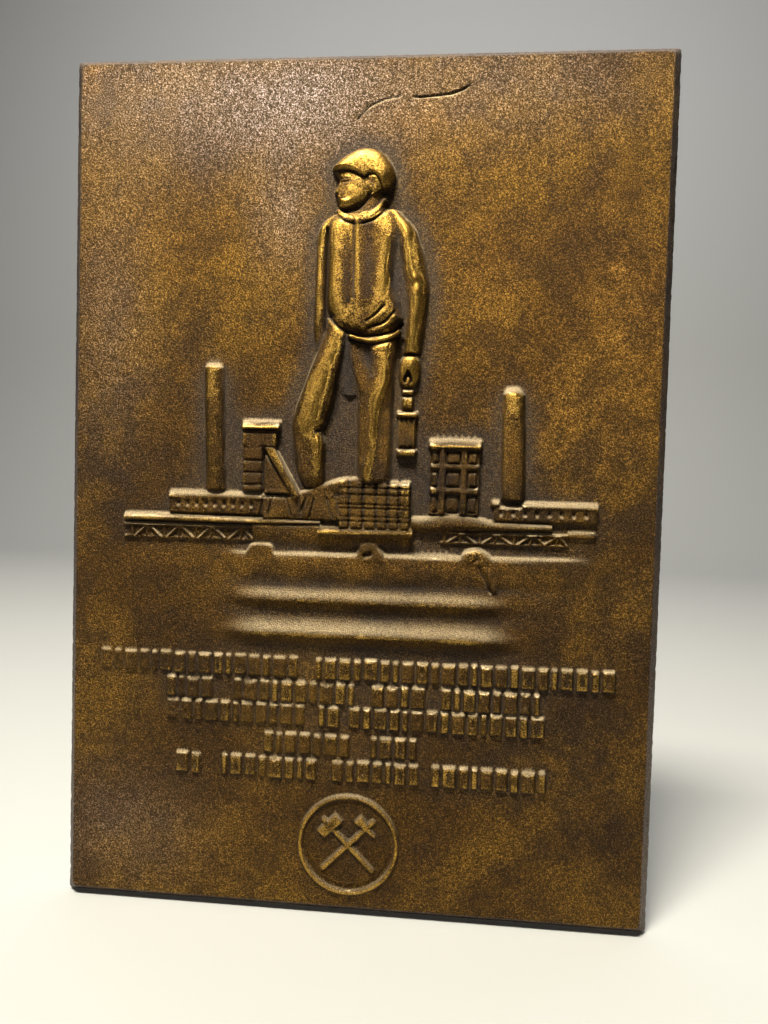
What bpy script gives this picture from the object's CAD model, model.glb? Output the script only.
"""Looks of the commemorative plaque.

One fine bronze casting stands for the CAD plate. Its front is a height field, sculpted on an even
grid and meshed on an adaptive one; drafted sides and a flat back close it.

Places and heights on the plate are in millimetres, from the plate's middle and its face. The meshes
and the shaders are in metres.
"""

import math

import bpy
import numpy as np
from mathutils import Matrix, Vector


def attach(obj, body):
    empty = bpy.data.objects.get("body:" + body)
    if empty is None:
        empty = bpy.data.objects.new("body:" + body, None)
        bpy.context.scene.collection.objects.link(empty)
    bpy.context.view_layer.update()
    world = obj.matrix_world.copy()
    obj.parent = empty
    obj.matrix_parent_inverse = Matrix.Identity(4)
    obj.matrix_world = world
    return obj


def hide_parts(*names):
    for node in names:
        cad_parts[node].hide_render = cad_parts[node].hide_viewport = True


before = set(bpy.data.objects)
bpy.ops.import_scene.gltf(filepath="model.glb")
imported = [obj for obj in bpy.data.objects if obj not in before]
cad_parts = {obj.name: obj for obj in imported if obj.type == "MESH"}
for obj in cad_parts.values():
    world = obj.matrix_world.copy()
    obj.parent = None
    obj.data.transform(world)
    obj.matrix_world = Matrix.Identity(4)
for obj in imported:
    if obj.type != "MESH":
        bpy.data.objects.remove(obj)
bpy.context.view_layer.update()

MM = 0.001
SEED = 11

# Plate, as in the CAD frame
PLATE_WIDTH = 200.0
PLATE_HEIGHT = 288.0
PLATE_THICKNESS = 5.0
SIDE_FLARE = 3.3
CORNER_RADIUS = 1.5

# Even grid of the front, and the adaptive cells: 1, 2, 4, 8 or 16 of its steps wide
FACE_X = PLATE_WIDTH / 2 - SIDE_FLARE
FACE_Z = PLATE_HEIGHT / 2 - SIDE_FLARE
STEPS_X = 768
STEPS_Z = 1120
COARSEST = 4
EDGE_LEVEL = 2
CORNER_LEVEL = 1
CORNER_STEPS = 32

# Search for the tolerance that gives the front no more than that many triangles
MOST_FRONT_TRIANGLES = 165000
LEAST_TOLERANCE = 0.002
MOST_TOLERANCE = 0.8
TOLERANCE_TRIES = 12

# Sides, from the front's edge to the back: (distance outwards, height above the back, raggedness)
SIDE_PROFILE = (
    (0.32, 4.94, 0.00), (0.60, 4.70, 0.03), (1.20, 4.00, 0.10), (1.80, 3.30, 0.14), (2.40, 2.60, 0.15),
    (3.22, 1.55, 0.10), (3.30, 0.80, 0.08), (3.20, 0.22, 0.05),
)

# The back's edge beyond the front's, its dents' depth, and the size of the ragged edges' grains
BACK_OUT = 2.95
BACK_DENT = 0.04
RAGGED_GRAIN = 0.55

# Heights of the relief's parts, as in the CAD frame
WORKS = 2.2
WATER = 1.6
STROKE = 1.1
EMBLEM = 1.1
TALLEST = 5.4

# Fall of a form's skirt below the face, per millimetre outside its outline
STEEP = 6.0

# Inscription rows; a word is (left end, right end)
ROW_HEIGHT = 7.4
FIRST_ROW = -PLATE_HEIGHT / 2 + 84.4
ROW_DROPS = (0.0, 8.5, 16.3, 26.0, 34.6)
ROW_WORDS = (
    ((-87.5, -15.9), (-12.5, 86.2)),
    ((-64.0, -46.4), (-40.5, 2.9), (6.6, 26.3), (29.9, 64.8)),
    ((-63.8, -13.8), (-11.1, -3.3), (-0.9, 65.1)),
    ((-29.7, 1.7), (6.8, 24.2)),
    ((-60.3, -49.4), (-44.2, -11.3), (-6.2, 23.1), (27.4, 65.1)),
)
STROKE_WIDTHS = (4.0, 2.8, 4.6, 3.4, 2.2, 4.2)
STROKE_GAP = 0.8
MARKED_STROKES = 0.55
ROW_REACH = 88.0

EMBLEM_MIDDLE = (0.0, -PLATE_HEIGHT / 2 + 24.6)
EMBLEM_RADIUS = 17.2

# Unevenness of the sand casting: (size, height)
BROAD_WAVES = (11.0, 0.090)
FINE_WAVES = (2.6, 0.040)
SAND_GRAINS = (0.6, 0.016)

# Pits: (x, z, size, depth)
PITS = (
    (-96.0, 138.9, 1.0, 0.35), (-90.6, 133.0, 1.0, 0.25), (-58.0, 121.0, 0.9, 0.25),
    (63.0, 96.0, 0.9, 0.25), (72.0, -30.0, 1.0, 0.3), (-84.0, -112.0, 1.1, 0.3),
)

# Patina, set by hand: (middle x, middle z, reach x, reach z, share)
DARK_PATCHES = (
    (-52.0, 52.0, 20.0, 14.0, 0.45), (-84.0, 10.0, 14.0, 30.0, 0.35), (-34.0, 108.0, 12.0, 9.0, 0.30),
    (34.0, 14.0, 10.0, 12.0, 0.35), (-70.0, -60.0, 30.0, 22.0, 0.30), (70.0, -80.0, 30.0, 40.0, 0.35),
    (-10.0, -30.0, 60.0, 3.0, 0.35), (26.0, 96.0, 9.0, 7.0, 0.22), (-80.0, 122.0, 30.0, 22.0, 0.30),
    (0.0, 2.0, 130.0, 32.0, 0.54), (74.0, 96.0, 30.0, 40.0, 0.22), (0.0, -72.0, 130.0, 36.0, 0.34),
    (46.0, 4.0, 30.0, 30.0, 0.26), (92.0, -24.0, 26.0, 34.0, 0.24), (84.0, -112.0, 30.0, 30.0, 0.22),
)
WARM_PATCHES = (
    (84.0, 60.0, 16.0, 34.0, 0.55), (66.0, 24.0, 18.0, 16.0, 0.35), (-93.0, 137.0, 6.0, 5.0, 0.80),
    (44.0, 74.0, 16.0, 22.0, 0.30), (-60.0, 86.0, 20.0, 16.0, 0.20), (14.0, -25.6, 50.0, 4.0, 0.35),
    (14.0, 122.0, 15.0, 6.0, 0.35),
)
DULL_PATCHES = (
    (-50.0, 132.0, 60.0, 24.0, 0.50), (-20.0, 126.0, 26.0, 16.0, 0.45), (50.0, 134.0, 40.0, 16.0, 0.30),
    (-26.0, 90.0, 10.0, 16.0, 0.35), (-80.0, -118.0, 26.0, 18.0, 0.22), (-86.0, 60.0, 14.0, 40.0, 0.20),
)

# Levels at which the patina changes: the top of the water, of the rows and of the emblem
WATER_TOP = -20.0
ROWS_TOP = -56.0
EMBLEM_TOP = -100.0

# Shares of the patina's kinds on the sides and the back
SIDE_SHARES = {"dark": 0.75, "warm": 0.1, "dull": 0.3}

# Dark stains in the hollows of the miner: (start, end, width, share)
GRIMY_LINES = (
    ((1.6, 86.0), (2.4, 74.0), 1.5, 0.9), ((2.4, 74.0), (2.0, 64.0), 1.8, 0.9),
    ((-4.6, 78.0), (-4.4, 62.0), 1.3, 0.8), ((-4.6, 50.0), (-4.0, 40.0), 1.7, 1.0),
    ((-4.0, 40.0), (-4.4, 33.4), 2.4, 1.0),
    ((3.0, 46.0), (4.2, 38.0), 1.5, 0.9), ((11.6, 82.0), (12.2, 56.0), 2.2, 1.0),
    ((-7.6, 88.2), (3.0, 86.4), 1.0, 0.7), ((7.2, 97.0), (5.6, 94.0), 1.4, 1.0),
)

chance = np.random.default_rng(SEED)


# Curves and fields


def smooth_path(points, closed=False, steps=5):
    """A curve through the points, with that many steps from each to the next."""
    points = np.array(points, float)
    if closed:
        padded = np.vstack((points[-1:], points, points[:2]))
    else:
        padded = np.vstack((2 * points[:1] - points[1:2], points, 2 * points[-1:] - points[-2:-1]))
    t = np.linspace(0, 1, steps, endpoint=False)[:, None]
    pieces = []
    for a, b, c, d in zip(padded, padded[1:], padded[2:], padded[3:]):
        bend = (2 * a - 5 * b + 4 * c - d) + t * (3 * b - 3 * c + d - a)
        pieces.append(b + 0.5 * t * ((c - a) + t * bend))
    curve = np.vstack(pieces)
    return curve if closed else np.vstack((curve, points[-1:]))


def path_distance(x, z, path, closed=False):
    """Distance from each place to a path, and the share of the path's length at its nearest point."""
    starts = path if closed else path[:-1]
    ends = np.roll(path, -1, axis=0) if closed else path[1:]
    lengths = np.maximum(np.hypot(*(ends - starts).T), 1e-9)
    run = np.concatenate(([0.0], np.cumsum(lengths)))
    nearest = np.full(x.shape, np.inf)
    along = np.zeros(x.shape)
    for start, end, length, before in zip(starts, ends, lengths, run):
        step_x, step_z = (end - start) / length
        reach = np.clip((x - start[0]) * step_x + (z - start[1]) * step_z, 0, length)
        square = (x - start[0] - reach * step_x) ** 2 + (z - start[1] - reach * step_z) ** 2
        closer = square < nearest
        nearest = np.where(closer, square, nearest)
        along = np.where(closer, before + reach, along)
    return np.sqrt(nearest), along / run[-1]


def inside_path(x, z, path):
    """Whether each place lies inside a closed path."""
    crossings = np.zeros(x.shape, int)
    for (x0, z0), (x1, z1) in zip(path, np.roll(path, -1, axis=0)):
        if z0 == z1:
            continue
        spans = (z0 > z) != (z1 > z)
        crossings += spans & (x < x0 + (z - z0) * (x1 - x0) / (z1 - z0))
    return crossings % 2 == 1


def blurred(field, sigma):
    """Gaussian blur, sigma in millimetres."""
    sigma_x = sigma * STEPS_X / (2 * FACE_X)
    sigma_z = sigma * STEPS_Z / (2 * FACE_Z)
    pad = int(3 * max(sigma_x, sigma_z)) + 1
    padded = np.pad(field, pad, mode="edge")
    turns_z = np.fft.fftfreq(padded.shape[0])[:, None]
    turns_x = np.fft.rfftfreq(padded.shape[1])[None, :]
    share = np.exp(-2 * (math.pi * sigma_z * turns_z) ** 2 - 2 * (math.pi * sigma_x * turns_x) ** 2)
    soft = np.fft.irfft2(np.fft.rfft2(padded) * share, s=padded.shape)
    return soft[pad:-pad, pad:-pad]


def unevenness(size, height):
    """A soft random field with features of that size and, on average, that height up or down."""
    field = blurred(chance.standard_normal((STEPS_Z + 1, STEPS_X + 1)), size)
    return height * ((field - field.mean()) / field.std())


def soft_step(value, low, high):
    """Rises smoothly from 0 at the low value to 1 at the high one, or falls where low is above high."""
    share = np.clip((value - low) / (high - low), 0, 1)
    return share * share * (3 - 2 * share)


class Relief:
    """Height of the front above the plate's face, on the even grid."""

    def __init__(self):
        self.x = np.linspace(-FACE_X, FACE_X, STEPS_X + 1)
        self.z = np.linspace(-FACE_Z, FACE_Z, STEPS_Z + 1)
        self.height = np.zeros((STEPS_Z + 1, STEPS_X + 1))

    def window(self, points, reach):
        """The grid's part within reach of the points: its slices and the places in it."""
        points = np.array(points, float)
        low, high = points.min(0) - reach, points.max(0) + reach
        columns = slice(*np.searchsorted(self.x, (low[0], high[0])))
        rows = slice(*np.searchsorted(self.z, (low[1], high[1])))
        x, z = np.meshgrid(self.x[columns], self.z[rows])
        return (rows, columns), x, z

    def merge(self, where, form, fillet):
        """Raises the surface to a form, with a soft fillet where they meet."""
        here = self.height[where]
        near = np.clip(1 - np.abs(here - form) / fillet, 0, None)
        self.height[where] = np.maximum(here, form) + near * near * fillet / 4

    def swell(self, outline, crest, shoulder, fullness=2.0, fillet=0.3, smooth=True):
        """A form that rises from its outline over the width of its shoulder to a level crest."""
        path = smooth_path(outline, closed=True) if smooth else np.array(outline, float)
        where, x, z = self.window(path, 1.2)
        distance, _ = path_distance(x, z, path, closed=True)
        share = np.clip(distance / shoulder, 0, 1)
        rise = crest * (1 - (1 - share) ** fullness) ** (1 / fullness)
        self.merge(where, np.where(inside_path(x, z, path), rise, -STEEP * distance), fillet)

    def column(self, stations, fullness=2.0, fillet=0.3, upright=True):
        """A rounded limb. A station is (place along, near edge, far edge, crest, crest's place across)."""
        table = smooth_path(stations, steps=8)
        if table[0, 0] > table[-1, 0]:
            table = table[::-1]
        corners = np.vstack((table[:, (1, 0)], table[:, (2, 0)]))
        where, x, z = self.window(corners if upright else corners[:, ::-1], 1.2)
        along, over = (z, x) if upright else (x, z)
        near, far, crest, middle = (np.interp(along, table[:, 0], table[:, k]) for k in (1, 2, 3, 4))
        share = (over - near) / np.maximum(far - near, 1e-6)
        away = np.where(share < middle, (middle - share) / middle, (share - middle) / (1 - middle))
        rise = crest * (1 - np.clip(away, 0, 1) ** fullness) ** (1 / fullness)
        outside = np.maximum(np.maximum(near - over, over - far),
                             np.maximum(table[0, 0] - along, along - table[-1, 0]))
        self.merge(where, np.where(outside < 0, rise, -STEEP * outside), fillet)

    def ridge(self, points, width, crest, fullness=2.0, fillet=0.2, smooth=True):
        """A rounded band along a path; width and crest are one number or one for every point."""
        steps = 5 if smooth else 1
        path = smooth_path(points, steps=steps)
        distance_limit = np.max(width) / 2 + 1.2
        where, x, z = self.window(path, distance_limit)
        distance, share = path_distance(x, z, path)
        run = np.concatenate(([0.0], np.cumsum(np.hypot(*np.diff(path, axis=0).T))))
        stops = run[::steps] / run[-1]
        half = np.interp(share, stops, np.broadcast_to(width, stops.shape)) / 2
        top = np.interp(share, stops, np.broadcast_to(crest, stops.shape))
        rise = top * (1 - np.clip(distance / half, 0, 1) ** fullness) ** (1 / fullness)
        self.merge(where, np.where(distance < half, rise, STEEP * (half - distance)), fillet)

    def fold(self, points, width, amount, on=None):
        """Adds a soft fold along a path, or with a negative amount a hollow; it fades at both ends."""
        path = smooth_path(points)
        where, x, z = self.window(path, 2.4 * width)
        distance, share = path_distance(x, z, path)
        change = amount * np.exp(-((distance / width) ** 2)) * np.sin(math.pi * share) ** 0.5
        self.height[where] += change if on is None else change * on[where]

    def cut(self, points, width, depth, smooth=False):
        """Cuts a line of rounded section along a path."""
        path = smooth_path(points) if smooth else np.array(points, float)
        where, x, z = self.window(path, width)
        distance, _ = path_distance(x, z, path)
        self.height[where] -= depth * np.clip(1 - (2 * distance / width) ** 2, 0, 1)

    def block(self, left, right, low, high, top, draft=0.45, fillet=0.2, roof=0.0, drop=0.0):
        """A drafted block; along its upper edge the top may fall off as a roof of that width and drop."""
        where, x, z = self.window(((left, low), (right, high)), 1.2)
        inset = np.minimum(np.minimum(x - left, right - x), np.minimum(z - low, high - z))
        crown = top - drop * np.clip(1 - (high - z) / roof, 0, 1) if roof else top
        form = np.where(inset > 0, crown * np.clip(inset / draft, 0, 1), STEEP * inset)
        self.merge(where, form, fillet)

    def ledge(self, points, width, depth):
        """A lapped joint: steep along a line from left to right, easing back over the width below it."""
        line = np.array(points, float)
        where, x, z = self.window(np.vstack((line, line - (0, width))), 0.2)
        below = np.interp(x, line[:, 0], line[:, 1]) - z
        inside = (x >= line[0, 0]) & (x <= line[-1, 0]) & (below >= 0)
        self.height[where] -= np.where(inside, depth * np.clip(1 - below / width, 0, 1), 0)

    def breaker(self, left, right, levels, crest):
        """A long wave from its top level over its crest's to its low level; it runs out at both ends."""
        top, ridge, low = levels
        where, x, z = self.window(((left, low), (right, top)), 0.1)
        along = (x - left) / (right - left)
        ends = soft_step(along, 0.0, 0.22) * soft_step(along, 1.0, 0.78)
        rising = soft_step(z, top, ridge - 0.25 * (top - ridge))
        falling = soft_step(z, low, ridge + 0.25 * (ridge - low))
        form = 1.1 * crest * ends * np.minimum(rising, falling)
        self.height[where] = np.maximum(self.height[where], form)

    def panel(self, left, right, low, high, level, draft=0.3):
        """Lowers the surface to a level inside a rectangle."""
        where, x, z = self.window(((left, low), (right, high)), 0.5)
        inset = np.minimum(np.minimum(x - left, right - x), np.minimum(z - low, high - z))
        here = self.height[where]
        share = np.clip(inset / draft, 0, 1)
        self.height[where] = np.minimum(here, here + (level - here) * share)


# The miner


def sculpt_legs(relief):
    relief.column((
        (54.0, -8.0, 2.0, 2.8, 0.5), (44.0, -7.6, 0.6, 2.0, 0.5), (38.0, -8.0, 0.8, 1.4, 0.5),
        (34.0, -7.0, 0.0, 1.0, 0.5), (31.6, -5.4, -1.0, 0.7, 0.5),
    ), fillet=0.6)
    relief.fold(((-4.4, 32.0), (-3.2, 31.6), (-2.0, 31.9)), 0.5, 0.4)
    relief.column((
        (57.0, -11.2, -3.4, 3.4, 0.55), (52.0, -12.0, -3.8, 4.0, 0.58), (47.0, -14.0, -4.4, 4.2, 0.60),
        (41.0, -16.4, -6.2, 4.4, 0.58), (35.5, -18.3, -7.5, 4.5, 0.56), (28.0, -21.0, -8.8, 4.5, 0.54),
        (23.0, -22.1, -10.6, 4.5, 0.52), (19.6, -22.1, -11.7, 4.3, 0.54), (15.5, -21.8, -10.7, 4.2, 0.64),
        (10.0, -21.1, -11.0, 4.0, 0.70), (5.6, -19.9, -10.9, 3.6, 0.68), (3.0, -18.8, -11.2, 2.9, 0.62),
        (1.2, -17.6, -12.0, 1.9, 0.60),
    ), fullness=1.9)
    relief.column((
        (55.0, -3.4, 12.6, 3.5, 0.72), (47.0, -3.0, 12.1, 4.2, 0.76), (42.0, -2.6, 11.5, 4.3, 0.78),
        (36.5, -1.9, 11.4, 4.4, 0.78), (31.0, -0.7, 11.3, 4.4, 0.60), (25.0, -0.5, 11.3, 4.2, 0.50),
        (18.5, -0.4, 11.3, 4.1, 0.48), (13.0, -0.3, 11.4, 4.0, 0.46), (5.0, 0.0, 11.4, 3.7, 0.34),
        (2.8, 0.4, 11.2, 2.6, 0.36),
    ), fullness=1.6)
    trousers = soft_step(relief.height, 1.2, 2.6)
    relief.fold(((-1.9, 49.0), (-1.6, 44.0), (-0.8, 39.0), (0.8, 33.0)), 1.0, 1.2)
    for points, width, amount in (
            (((2.8, 48.8), (3.0, 43.5), (4.2, 37.6)), 1.8, -1.5),
            (((9.3, 48.6), (8.9, 42.0), (8.7, 36.3), (6.9, 31.6), (5.7, 26.0), (5.2, 18.0), (4.9, 12.0),
              (2.6, 4.2)), 0.9, 0.8),
            (((9.0, 31.0), (8.0, 22.0), (7.6, 12.0), (6.2, 5.0)), 1.5, -0.6),
            (((2.0, 33.0), (2.4, 24.0), (2.2, 14.0)), 1.3, -0.3),
            (((10.0, 21.0), (10.1, 13.0), (9.5, 4.4)), 0.7, 0.95),
            (((-5.8, 55.0), (-5.4, 48.0), (-6.8, 41.0), (-8.4, 34.0), (-9.6, 27.0)), 0.9, 0.4),
            (((-15.5, 45.0), (-16.5, 36.0), (-18.6, 27.0)), 2.4, 0.3),
            (((-13.0, 21.0), (-12.7, 15.0), (-12.7, 7.0)), 0.8, 0.6),
            (((-17.0, 19.0), (-15.6, 14.0), (-15.2, 6.0)), 1.6, -0.45),
    ):
        relief.fold(points, width, amount, trousers)
    relief.cut(((-13.6, 19.6), (-12.0, 20.0), (-10.0, 21.6)), 1.2, 1.0, smooth=True)
    relief.fold(((-14.8, 22.0), (-12.2, 22.4), (-10.6, 23.6)), 0.9, 0.4, trousers)


def sculpt_jacket(relief):
    relief.swell((
        (-6.0, 91.4), (-9.4, 90.2), (-11.6, 87.4), (-11.9, 83.0), (-11.6, 76.0), (-11.6, 68.0),
        (-11.7, 62.0), (-10.9, 58.8), (-8.6, 55.7), (-5.4, 53.2), (-1.2, 51.9), (5.1, 51.7),
        (10.1, 52.9), (13.6, 55.6), (13.9, 58.0), (13.2, 61.8), (11.7, 66.0), (10.5, 70.5),
        (10.9, 75.0), (11.7, 80.0), (12.2, 85.0), (11.4, 89.4), (7.4, 92.6), (0.0, 93.0),
    ), 4.4, 5.0, fullness=2.1)
    relief.column((
        (90.4, -9.6, -6.0, 2.6, 0.55), (88.6, -12.6, -7.4, 2.9, 0.50), (85.5, -14.6, -9.6, 3.1, 0.45),
        (82.0, -15.2, -10.9, 3.0, 0.45), (75.0, -15.4, -11.5, 2.8, 0.45), (62.0, -15.6, -11.6, 2.5, 0.45),
        (53.0, -15.8, -11.9, 1.9, 0.45), (46.6, -15.0, -12.2, 0.6, 0.50),
    ))
    relief.column((
        (84.0, 10.0, 14.0, 1.6, 0.5), (72.0, 9.6, 15.0, 1.6, 0.5), (58.0, 12.6, 16.4, 1.4, 0.5),
        (50.0, 12.4, 15.6, 0.8, 0.5),
    ), fullness=3.0)
    relief.column((
        (91.6, 7.4, 11.4, 3.2, 0.5), (89.0, 8.2, 14.0, 3.8, 0.50), (85.6, 9.8, 17.1, 4.3, 0.50),
        (81.0, 11.2, 19.0, 4.4, 0.44), (78.0, 11.9, 20.0, 4.4, 0.40), (72.0, 12.9, 21.2, 4.3, 0.40),
        (67.5, 13.8, 21.9, 4.5, 0.50), (63.5, 14.5, 21.9, 4.3, 0.50), (59.0, 14.8, 21.4, 4.1, 0.48),
        (52.0, 14.6, 20.7, 3.8, 0.46), (45.6, 14.2, 19.8, 3.5, 0.50),
    ), fullness=1.8)
    jacket = soft_step(relief.height, 1.6, 3.2)
    for points, width, amount in (
            (((6.9, 88.0), (7.9, 79.0), (7.5, 70.0), (6.6, 63.8), (3.8, 58.4)), 1.9, 0.8),
            (((-8.4, 86.0), (-9.0, 76.0), (-9.2, 66.0), (-8.2, 59.2), (-5.2, 56.0), (-1.6, 54.6)), 1.2,
             0.6),
            (((-4.7, 85.0), (-4.6, 74.0), (-4.4, 63.0)), 1.6, -0.6),
            (((2.4, 86.0), (2.5, 75.0), (2.2, 63.0)), 1.9, -0.8),
            (((11.2, 84.0), (10.6, 75.0), (10.9, 68.6), (12.6, 61.8), (13.2, 57.4)), 1.5, -0.9),
            (((10.6, 76.2), (9.6, 71.4), (8.5, 66.6)), 0.55, 0.6),
            (((10.6, 88.0), (14.1, 84.2), (14.9, 78.4), (16.1, 72.6), (18.2, 66.6), (18.0, 60.4),
              (17.4, 53.0), (16.8, 45.8)), 0.9, 0.55),
            (((19.6, 68.6), (17.2, 67.4), (14.6, 68.2)), 0.8, -0.6),
            (((-13.2, 86.5), (-13.9, 78.0), (-13.8, 64.0), (-13.9, 52.0)), 0.7, 0.3),
            (((-9.6, 60.0), (-7.2, 56.6), (-3.6, 54.3), (1.0, 53.3), (6.0, 53.4), (10.4, 54.8),
              (12.8, 57.2)), 0.8, 0.4),
    ):
        relief.fold(points, width, amount, jacket)
    relief.cut(((-11.6, 85.6), (-11.6, 76.0), (-11.7, 62.0), (-11.4, 58.4)), 1.2, 1.2, smooth=True)
    relief.cut(((-11.2, 58.6), (-8.6, 55.2), (-5.4, 52.6), (-1.2, 51.2), (5.1, 51.0), (10.1, 52.2),
                (13.8, 55.0)), 1.1, 1.3, smooth=True)
    for start, middle, end in (((7.8, 60.6), (5.0, 57.6), (1.8, 55.5)),
                               ((11.0, 58.6), (7.6, 55.0), (2.4, 53.4))):
        relief.cut((start, middle, end), 0.9, 0.9, smooth=True)
        lip = [(x + 0.5, z - 0.9) for x, z in (start, middle, end)]
        relief.fold(lip, 0.5, 0.6, jacket)
    relief.fold(((0.6, 61.0), (1.8, 57.6), (-0.4, 55.4)), 1.1, -0.5, jacket)
    relief.ridge(((-3.4, 50.8), (0.1, 49.9), (4.4, 49.3), (9.5, 50.4), (12.7, 52.4)), 1.3, 4.2)
    relief.cut(((-3.4, 49.6), (0.1, 48.8), (4.4, 48.1), (9.5, 49.2), (12.4, 51.2)), 1.0, 1.0, smooth=True)
    relief.fold(((-2.4, 47.9), (1.0, 47.2), (5.0, 46.6), (9.0, 47.6)), 0.5, 0.4, jacket)


def sculpt_head(relief):
    """Cap, ear and neck; the face is a plain one, its brow, nose base and chin a third apart."""
    chin = 91.4
    third = 5.5
    nose_base = chin + third
    brow = nose_base + third
    relief.column((
        (87.6, -5.0, 6.0, 3.0, 0.5), (92.0, -4.6, 6.4, 3.3, 0.5), (96.0, -3.4, 7.4, 3.4, 0.5),
        (99.0, -2.6, 8.0, 3.3, 0.5),
    ))
    relief.swell((
        (-8.3, brow + 3.2), (-8.4, brow + 0.8), (-8.1, brow - 1.4), (-8.9, nose_base + 2.0),
        (-9.8, nose_base + 0.9), (-9.6, nose_base + 0.2), (-8.8, nose_base - 0.3), (-9.0, nose_base - 1.3),
        (-8.6, nose_base - 1.9), (-8.8, nose_base - 2.7), (-8.2, nose_base - 3.5), (-8.5, chin + 1.2),
        (-7.5, chin + 0.2), (-5.0, chin), (-2.2, chin + 0.9), (0.6, nose_base - 3.2),
        (2.2, nose_base - 0.6), (3.4, brow - 3.0), (6.0, brow - 1.0), (7.4, brow + 2.6), (0.0, brow + 5.0),
    ), 4.4, 1.9, fillet=0.2)
    relief.swell((
        (-10.9, 104.7), (-9.4, 106.7), (-7.0, 108.7), (-2.8, 111.0), (1.3, 111.6), (5.5, 110.3),
        (8.8, 106.6), (10.1, 103.3), (9.7, 100.6), (8.2, 98.2), (6.4, 96.8), (4.8, 95.8), (1.6, 95.4),
        (-2.6, 96.6), (-6.0, 98.8), (-8.4, 101.8), (-9.6, 103.6),
    ), 5.25, 4.6, fullness=2.1, fillet=0.2)
    line = ((-11.4, 104.8), (-9.0, 104.5), (-6.4, 104.3), (-2.8, 103.2), (0.1, 101.7), (1.8, 102.5),
            (3.4, 102.4), (4.8, 101.2), (5.9, 99.0), (6.5, 96.4))
    where, x, z = relief.window(((-11.4, 95.0), (6.5, 105.0)), 0.3)
    below = np.interp(x, *np.array(line).T) - z
    under_cap = (below > 0) & (x < 6.5)
    face = 4.4 - 0.045 * np.clip(-x - 2.0, 0, None) ** 2 - 0.5 * np.clip(1 - below / 2.2, 0, 1)
    here = relief.height[where]
    relief.height[where] = np.where(under_cap, np.minimum(here, face), here)
    relief.cut(line, 0.7, 0.8, smooth=True)
    skin = soft_step(relief.height, 2.2, 3.2)
    for points, width, amount in (
            (((-7.8, brow - 0.4), (-5.8, brow + 0.1), (-3.4, brow - 0.4)), 0.7, 0.40),
            (((-7.6, brow - 1.9), (-5.8, brow - 1.7), (-3.8, brow - 2.1)), 0.8, -0.62),
            (((-7.4, brow - 1.8), (-6.0, brow - 1.6), (-4.6, brow - 2.0)), 0.4, 0.50),
            (((-9.0, nose_base + 1.5), (-7.8, nose_base + 0.9), (-6.8, nose_base + 1.1)), 0.6, 0.45),
            (((-8.8, nose_base - 1.3), (-7.6, nose_base - 1.2), (-6.6, nose_base - 1.6)), 0.5, 0.25),
            (((-8.6, nose_base - 2.6), (-7.6, nose_base - 2.6), (-6.8, nose_base - 2.4)), 0.6, 0.12),
            (((-4.4, nose_base + 2.2), (-3.4, nose_base - 0.2), (-3.9, nose_base - 2.8)), 1.8, 0.30)):
        relief.fold(points, width, amount, skin)
    relief.cut(((-7.4, brow - 2.2), (-6.0, brow - 2.1), (-4.6, brow - 2.4)), 0.5, 0.4, smooth=True)
    relief.cut(((-7.7, nose_base + 0.1), (-6.7, nose_base + 0.5)), 0.6, 0.4)
    relief.cut(((-8.9, nose_base - 1.9), (-7.8, nose_base - 1.8), (-6.4, nose_base - 2.1)), 0.5, 0.34)
    relief.cut(((-6.8, chin - 0.5), (-4.2, chin - 0.6), (-1.6, chin + 0.4), (1.2, nose_base - 2.6),
                (2.6, nose_base - 0.2)), 0.9, 0.9, smooth=True)
    relief.ridge(((-8.4, 91.4), (-6.8, 89.8), (-4.2, 88.8), (-0.8, 88.6), (2.6, 89.9), (5.2, 92.0),
                  (6.8, 94.6)), (1.5, 2.3, 2.6, 2.6, 2.6, 2.4, 1.8), (2.8, 3.8, 4.4, 4.6, 4.5, 4.1, 3.2))
    relief.cut(((-7.8, 89.2), (-5.2, 87.2), (-2.6, 86.6)), 0.8, 0.9, smooth=True)
    relief.cut(((-0.2, 86.6), (3.4, 87.8), (6.0, 89.9), (7.9, 92.8)), 0.9, 1.1, smooth=True)
    relief.ridge(((-1.7, 88.2), (-1.5, 80.0), (-1.3, 70.0), (-1.0, 61.2)), (2.4, 2.0, 1.9, 1.5),
                 (5.1, 5.1, 5.05, 4.6))
    relief.cut(((-2.9, 87.0), (-2.7, 76.0), (-2.4, 63.0)), 0.8, 0.8, smooth=True)
    relief.cut(((5.6, 97.0), (7.0, 96.9), (8.6, 98.0)), 1.2, 1.6, smooth=True)
    relief.ridge(((0.9, 100.6), (2.2, 101.6), (4.0, 101.0), (4.7, 99.0), (3.9, 97.0), (2.4, 96.0)),
                 (1.2, 1.5, 1.6, 1.5, 1.4, 1.0), (3.8, 4.6, 4.9, 4.7, 4.4, 3.8))
    relief.cut(((1.7, 100.1), (3.0, 99.7), (2.8, 98.1)), 0.9, 0.6, smooth=True)


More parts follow.
